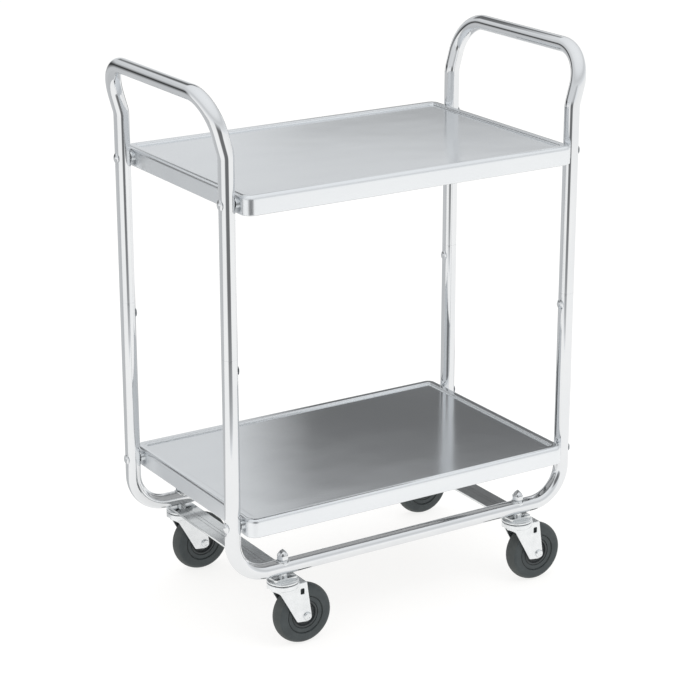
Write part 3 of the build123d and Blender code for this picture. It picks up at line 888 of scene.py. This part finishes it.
def fork_deck(builder):
    """The flat top behind the cup, which joins the legs."""
    front_x = math.sqrt((RACE_R - CUP_WALL / 2) ** 2 - FORK_OUTER**2)
    rising = [(front_x, -FORK_OUTER), (FORK_BACK_X, -FORK_OUTER)]
    outline = rising + [(x, -y) for x, y in reversed(rising)]
    deck = bmesh.new()
    plate(deck, outline, [], FORK_SHEET)
    for vert in deck.verts:
        vert.co = (vert.co.x, vert.co.z, SHOULDER_TOP - vert.co.y)
    merge(builder, deck)


def pressed_fork():
    """The fork's mesh about its stem: cup, shoulder and legs melted together with soft edges."""
    builder = bmesh.new()
    bore = STEM_R + FIT
    rounded = arc((RACE_R - CROWN_ROUND, CROWN_BOTTOM + CROWN_ROUND), CROWN_ROUND, -90, 0, 6)
    cup = [(bore, CROWN_BOTTOM), *rounded, (RACE_R, CUP_TOP), (RACE_R - CUP_WALL, CUP_TOP)]
    cup += [(RACE_R - CUP_WALL, CROWN_TOP), (bore, CROWN_TOP)]
    lathe(builder, cup, sides=96, loop=True)
    for side in (-1, 1):
        fork_leg(builder, side)
    fork_deck(builder)
    rough = new_piece("fork_rough", builder, ZINC)
    melt = rough.modifiers.new("melt", "REMESH")
    melt.mode = "VOXEL"
    melt.voxel_size = FORK_VOXEL
    soften = rough.modifiers.new("soften", "SMOOTH")
    soften.factor = 0.5
    soften.iterations = FORK_SMOOTHING
    made = bpy.data.meshes.new_from_object(rough.evaluated_get(bpy.context.evaluated_depsgraph_get()))
    bpy.data.objects.remove(rough)
    made.shade_smooth()
    return made


def tyre_profile():
    """(radius, height) points round the tyre's section, from the bore's foot."""
    half = WHEEL_WIDTH / 2
    sunk = half - TYRE_SUNK
    groove = sunk - TYRE_GROOVE
    lip = sunk - TYRE_BEAD
    centres_apart = TREAD_CROWN_R - TREAD_SHOULDER_R
    turn = math.asin((half - TREAD_SHOULDER_R) / centres_apart)
    crown_x = WHEEL_R - TREAD_CROWN_R
    shoulder_x = crown_x + centres_apart * math.cos(turn)
    right = [(HUB_R, lip), (HUB_R + 0.9 * MM, lip)]
    right += [(HUB_R + 1.1 * MM, sunk - 0.3 * MM), (HUB_R + 1.5 * MM, sunk)]
    right += [(TYRE_RING_R - 2.4 * MM, sunk), (TYRE_RING_R - 2.1 * MM, groove)]
    right += [(TYRE_RING_R - 1.0 * MM, groove), (TYRE_RING_R - 0.5 * MM, half - 0.4 * MM)]
    right += [(TYRE_RING_R + 0.3 * MM, half)]
    right += arc((shoulder_x, half - TREAD_SHOULDER_R), TREAD_SHOULDER_R, 90, math.degrees(turn), 9)
    right += arc((crown_x, 0), TREAD_CROWN_R, math.degrees(turn), 0, 7)[1:]
    left = [(r, -z) for r, z in reversed(right[:-1])]
    return [*right, *left]


def hub_profile():
    """(radius, height) points round the wheel core's section."""
    half = HUB_LENGTH / 2
    right = [(BUSH_R + FIT, half), (BOSS_R - 1 * MM, half), (BOSS_R - 0.3 * MM, half - 0.3 * MM)]
    right += [(BOSS_R, half - 1 * MM), (BOSS_R + 0.5 * MM, HUB_WEB + 1.5 * MM)]
    right += [(BOSS_R + 1.7 * MM, HUB_WEB), (HUB_R - 4.5 * MM, HUB_WEB), (HUB_R - 3.5 * MM, HUB_WEB + 1 * MM)]
    right += [(HUB_R - 3 * MM, HUB_RIM - 0.5 * MM), (HUB_R - 2.4 * MM, HUB_RIM), (HUB_R, HUB_RIM)]
    left = [(r, -z) for r, z in reversed(right)]
    return [*right, *left]


def race_profile():
    """(radius, height) points round the fixed top plate's section."""
    bottom = race_low.z + 2 * MM
    neck_r = RACE_R - RACE_NECK
    skirt = bottom + 1.0 * MM
    points = [(STEM_R, RACE_BOSS_FOOT), (RACE_BOSS_R, RACE_BOSS_FOOT), (RACE_BOSS_R, bottom)]
    points += [(neck_r, bottom), (neck_r, skirt), (RACE_R - 0.3 * MM, skirt), (RACE_R, skirt + 0.3 * MM)]
    points += arc((RACE_R - RACE_ROUND, RACE_TOP - RACE_SLOPE - RACE_ROUND), RACE_ROUND, 0, 80, 6)
    points += [(RACE_R - 4 * MM, RACE_TOP), (STEM_R, RACE_TOP)]
    return points


def axle_bolt(builder, place):
    """A low round head with a shallow dished centre, and a plain end beyond the nut."""
    tail = FORK_OUTER * 2 + NUT_HEIGHT + AXLE_PAST_NUT
    chamfer = 0.6 * MM
    profile = [(0, -tail), (AXLE_R - chamfer, -tail), (AXLE_R, -tail + chamfer), (AXLE_R, 0)]
    profile += [(AXLE_HEAD_R, 0), (AXLE_HEAD_R, 1.1 * MM)]
    round_centre = (AXLE_HEAD_R - AXLE_HEAD_ROUND, AXLE_HEAD - AXLE_HEAD_ROUND)
    profile += arc(round_centre, AXLE_HEAD_ROUND, 0, 90, 6)
    profile += [(3.2 * MM, AXLE_HEAD), (2.6 * MM, AXLE_HEAD - 0.5 * MM), (0, AXLE_HEAD - 0.7 * MM)]
    lathe(builder, profile, place, sides=48)


def caster(end_name, side_name, fork_mesh):
    """The detailed pieces of one caster, each on its own body."""
    corner = f"{end_name}_{side_name}"
    stem_x = SIDES[side_name] * STEM_X
    y = ENDS[end_name] * LEG_Y
    fork_body, wheel_body = f"{corner}_fork_body", f"{corner}_wheel_body"
    axle = Vector((stem_x + TRAIL, y, WHEEL_R))
    on_axle = facing(axle, (0, 1, 0))

    race = bmesh.new()
    lathe(race, race_profile(), Matrix.Translation((stem_x, y, 0)), sides=80, loop=True)
    settle(new_piece(f"{corner}_race_plate", race, ZINC), "root", "zinc_plate", f"{corner}_top_race")

    made = fork_mesh.copy()
    made.transform(Matrix.Translation((stem_x, y, 0)))
    fork = bpy.data.objects.new(f"{corner}_pressed_fork", made)
    bpy.context.scene.collection.objects.link(fork)
    settle(fork, fork_body, "zinc_plate", f"{corner}_fork")

    bolt = bmesh.new()
    axle_bolt(bolt, facing(axle + Vector((0, -FORK_OUTER, 0)), (0, -1, 0)))
    settle(new_piece(f"{corner}_axle", bolt, ZINC), fork_body, "zinc_plate", f"{corner}_axle_bolt")

    nut = bmesh.new()
    hex_nut(nut, AXLE_R, NUT_HEIGHT, facing(axle + Vector((0, FORK_OUTER, 0)), (0, 1, 0)))
    settle(new_piece(f"{corner}_nut", nut, ZINC), fork_body, "zinc_plate", f"{corner}_axle_nut")

    core = bmesh.new()
    lathe(core, hub_profile(), on_axle, sides=96, loop=True)
    settle(new_piece(f"{corner}_wheel_core", core, HUB), wheel_body, "hub_core", f"{corner}_hub")

    tread = bmesh.new()
    lathe(tread, tyre_profile(), on_axle, sides=128, loop=True)
    tread.normal_update()
    # Faces that look out round the wheel take the tread material, whose lighter tone is painted light.
    for face in tread.faces:
        reach = (face.calc_center_median() - axle).to_2d().length
        if reach > 0.5 * WHEEL_R and abs(face.normal.y) < TREAD_FACING:
            face.material_index = 1
    tyre = new_piece(f"{corner}_wheel_tyre", tread, RUBBER_SIDE, RUBBER_TREAD)
    settle(tyre, wheel_body, "rubber_tyre", f"{corner}_tyre")


def finish_kept_nodes():
    """Gives the CAD nodes that stay their materials."""
    zinc_endings = ("_stem", "_axle_bush", "shelf_spacers", "splice_sleeves", "stem_collars")
    for name, kept in frame["nodes"].items():
        if name.endswith(zinc_endings):
            kept.material_slots[0].material = ZINC
        if name.endswith("_balls"):
            kept.material_slots[0].material = BALL_STEEL


# ---- stage --------------------------------------------------------------
def studio_floor():
    """A plain pale floor that fills the view, part lit and part glowing, so its shadows stay faint."""
    builder = bmesh.new()
    reach = 30
    spots = ((-reach, -reach, 0), (reach, -reach, 0), (reach, reach, 0), (-reach, reach, 0))
    builder.faces.new([builder.verts.new(spot) for spot in spots])
    look = material(
        "studio_floor",
        {
            "Base Color": (0.26, 0.257, 0.254, 1),
            "Roughness": 0.9,
            "Specular IOR Level": 0.0,
            "Emission Color": (1.0, 0.995, 0.985, 1),
            "Emission Strength": 0.81,
        },
    )
    new_piece("studio_floor", builder, look)


def sky():
    """A plain light studio, a little darker low down."""
    world = bpy.data.worlds.new("studio")
    bpy.context.scene.world = world
    world.use_nodes = True
    tree = world.node_tree
    place = tree.nodes.new("ShaderNodeTexCoord")
    parts = tree.nodes.new("ShaderNodeSeparateXYZ")
    fade = tree.nodes.new("ShaderNodeValToRGB")
    tree.links.new(place.outputs["Generated"], parts.inputs["Vector"])
    tree.links.new(parts.outputs["Z"], fade.inputs["Fac"])
    tree.links.new(fade.outputs["Color"], tree.nodes["Background"].inputs["Color"])
    fill_ramp(fade.color_ramp, [(0.0, 1.0), (0.12, 0.86), (0.34, 0.72), (0.6, 0.92), (1.0, 1.0)])


def fill_ramp(ramp, stops):
    """Grey (position, level) stops, very slightly blue."""
    while len(ramp.elements) < len(stops):
        ramp.elements.new(1.0)
    for element, (position, level) in zip(ramp.elements, stops):
        element.position = position
        element.color = (level * 0.985, level, level * 1.015, 1)


def card(name, azimuth, half_angle, distance, stops):
    """A standing card seen only in reflections, with (height, level) stops from its foot up.

    Its sides fade out, so that no hard edge shows on the plated tubes.
    """
    half = distance * math.tan(math.radians(half_angle))
    foot = stops[0][0]
    height = stops[-1][0] - foot
    builder = bmesh.new()
    spots = ((-half, 0, 0), (half, 0, 0), (half, 0, height), (-half, 0, height))
    builder.faces.new([builder.verts.new(spot) for spot in spots])
    look = material(name, {"Base Color": (0, 0, 0, 1), "Specular IOR Level": 0.0, "Emission Strength": 1.0})
    shader = look.node_tree.nodes["Principled BSDF"]
    place = node(look, "ShaderNodeTexCoord")
    parts = node(look, "ShaderNodeSeparateXYZ")
    rise = node(look, "ShaderNodeMath", operation="DIVIDE")
    rise.inputs[1].default_value = height
    fade = node(look, "ShaderNodeValToRGB")
    fill_ramp(fade.color_ramp, [((z - foot) / height, level) for z, level in stops])
    aside = node(look, "ShaderNodeMath", operation="ABSOLUTE")
    link(look, place.outputs["Object"], parts.inputs["Vector"])
    link(look, parts.outputs["Z"], rise.inputs[0])
    link(look, rise.outputs[0], fade.inputs["Fac"])
    link(look, fade.outputs["Color"], shader.inputs["Emission Color"])
    link(look, parts.outputs["X"], aside.inputs[0])
    edge = map_range(look, aside.outputs[0], 0.6 * half, half, 1.0, 0.0)
    link(look, edge, shader.inputs["Alpha"])
    stand = new_piece(name, builder, look)
    turn = math.radians(azimuth)
    stand.location = (math.sin(turn) * distance, -math.cos(turn) * distance, foot)
    stand.rotation_euler = (0, 0, turn)
    only_reflected(stand)


def mat_behind():
    """A grey mat on the floor behind the cart, seen only in reflections."""
    builder = bmesh.new()
    lift = 2 * MM
    left, right, near, far = -4.0, 1.2, 0.3, 5.0
    spots = ((left, near), (right, near), (right, far), (left, far))
    builder.faces.new([builder.verts.new((x, y, lift)) for x, y in spots])
    sockets = {"Base Color": (0, 0, 0, 1), "Specular IOR Level": 0.0, "Emission Strength": 0.62}
    look = material("mat_behind", sockets)
    look.node_tree.nodes["Principled BSDF"].inputs["Emission Color"].default_value = (0.985, 1.0, 1.015, 1)
    only_reflected(new_piece("mat_behind", builder, look))


def only_reflected(thing):
    """Leaves a stage object visible to mirror-like reflections and nothing else."""
    thing.visible_camera = False
    thing.visible_diffuse = False
    thing.visible_transmission = False
    thing.visible_shadow = False


def cards():
    """Grey cards near the camera and beyond the left and right ends, which line the plated tubes.

    Each has an azimuth and half angle in degrees, a distance, and its (height, level) stops.
    """
    card(
        "card_front", -29, 24, 1.2,
        [(0, 1.0), (0.05, 0.62), (0.11, 0.43), (0.18, 0.31), (0.31, 0.20), (0.8, 0.18), (1.1, 0.8)],
    )
    card(
        "card_left", -150, 28, 1.6,
        [(0, 0.66), (0.5, 0.64), (0.7, 0.3), (0.86, 0.05), (0.98, 0.06), (1.2, 0.55), (1.4, 0.82)],
    )
    card(
        "card_high", 168, 26, 2.0,
        [(1.7, 0.8), (1.85, 0.3), (2.1, 0.12), (2.4, 0.2), (2.6, 0.85)],
    )
    card(
        "card_right", 140, 18, 1.6,
        [(0, 1.0), (0.3, 0.9), (0.5, 0.3), (0.8, 0.12), (1.0, 0.3), (1.2, 0.85)],
    )


def softbox(name, location, target, size, power):
    """A large soft light aimed at a point."""
    data = bpy.data.lights.new(name, "AREA")
    data.shape = "RECTANGLE"
    data.size, data.size_y = size
    data.energy = power
    lamp = bpy.data.objects.new(name, data)
    lamp.location = location
    direction = Vector(target) - Vector(location)
    lamp.rotation_euler = direction.to_track_quat("-Z", "Y").to_euler()
    lamp.visible_glossy = False
    bpy.context.scene.collection.objects.link(lamp)


def lights():
    middle = (0, 0, 0.45)
    softbox("key", (1.2, -2.6, 3.0), middle, (1.8, 1.8), 22)
    softbox("fill", (-2.8, -1.2, 2.4), middle, (1.4, 2.0), 8)
    softbox("top", (0, 0.6, 3.4), middle, (2.4, 2.4), 16)


def camera():
    """The photograph's side of the cart, seen from a little above."""
    azimuth, elevation = math.radians(-32.13), math.radians(18.1)
    distance = 3.708
    pivot = Vector((0, 0, 0.46))
    aim = Vector((0.0033, 0, 0.411))
    data = bpy.data.cameras.new("camera")
    data.lens = 114.9
    data.clip_end = 100
    viewer = bpy.data.objects.new("camera", data)
    flat = math.cos(elevation)
    back = Vector((math.sin(azimuth) * flat, -math.cos(azimuth) * flat, math.sin(elevation)))
    viewer.location = pivot + back * distance
    viewer.rotation_euler = (aim - viewer.location).to_track_quat("-Z", "Y").to_euler()
    bpy.context.scene.collection.objects.link(viewer)
    bpy.context.scene.camera = viewer


# ---- the scene ----------------------------------------------------------
camera()
lights()
sky()
studio_floor()
mat_behind()
cards()
bpy.context.scene.view_settings.view_transform = "Standard"

for side_name in SIDES:
    handle_bow(side_name)
    cross_bar(side_name)
for end_name in ENDS:
    base_frame(end_name)
for level in LEVELS:
    shelf(level)
leg_fasteners()
rail_tops()
fork_mesh = pressed_fork()
for end_name in ENDS:
    for side_name in SIDES:
        caster(end_name, side_name, fork_mesh)
finish_kept_nodes()
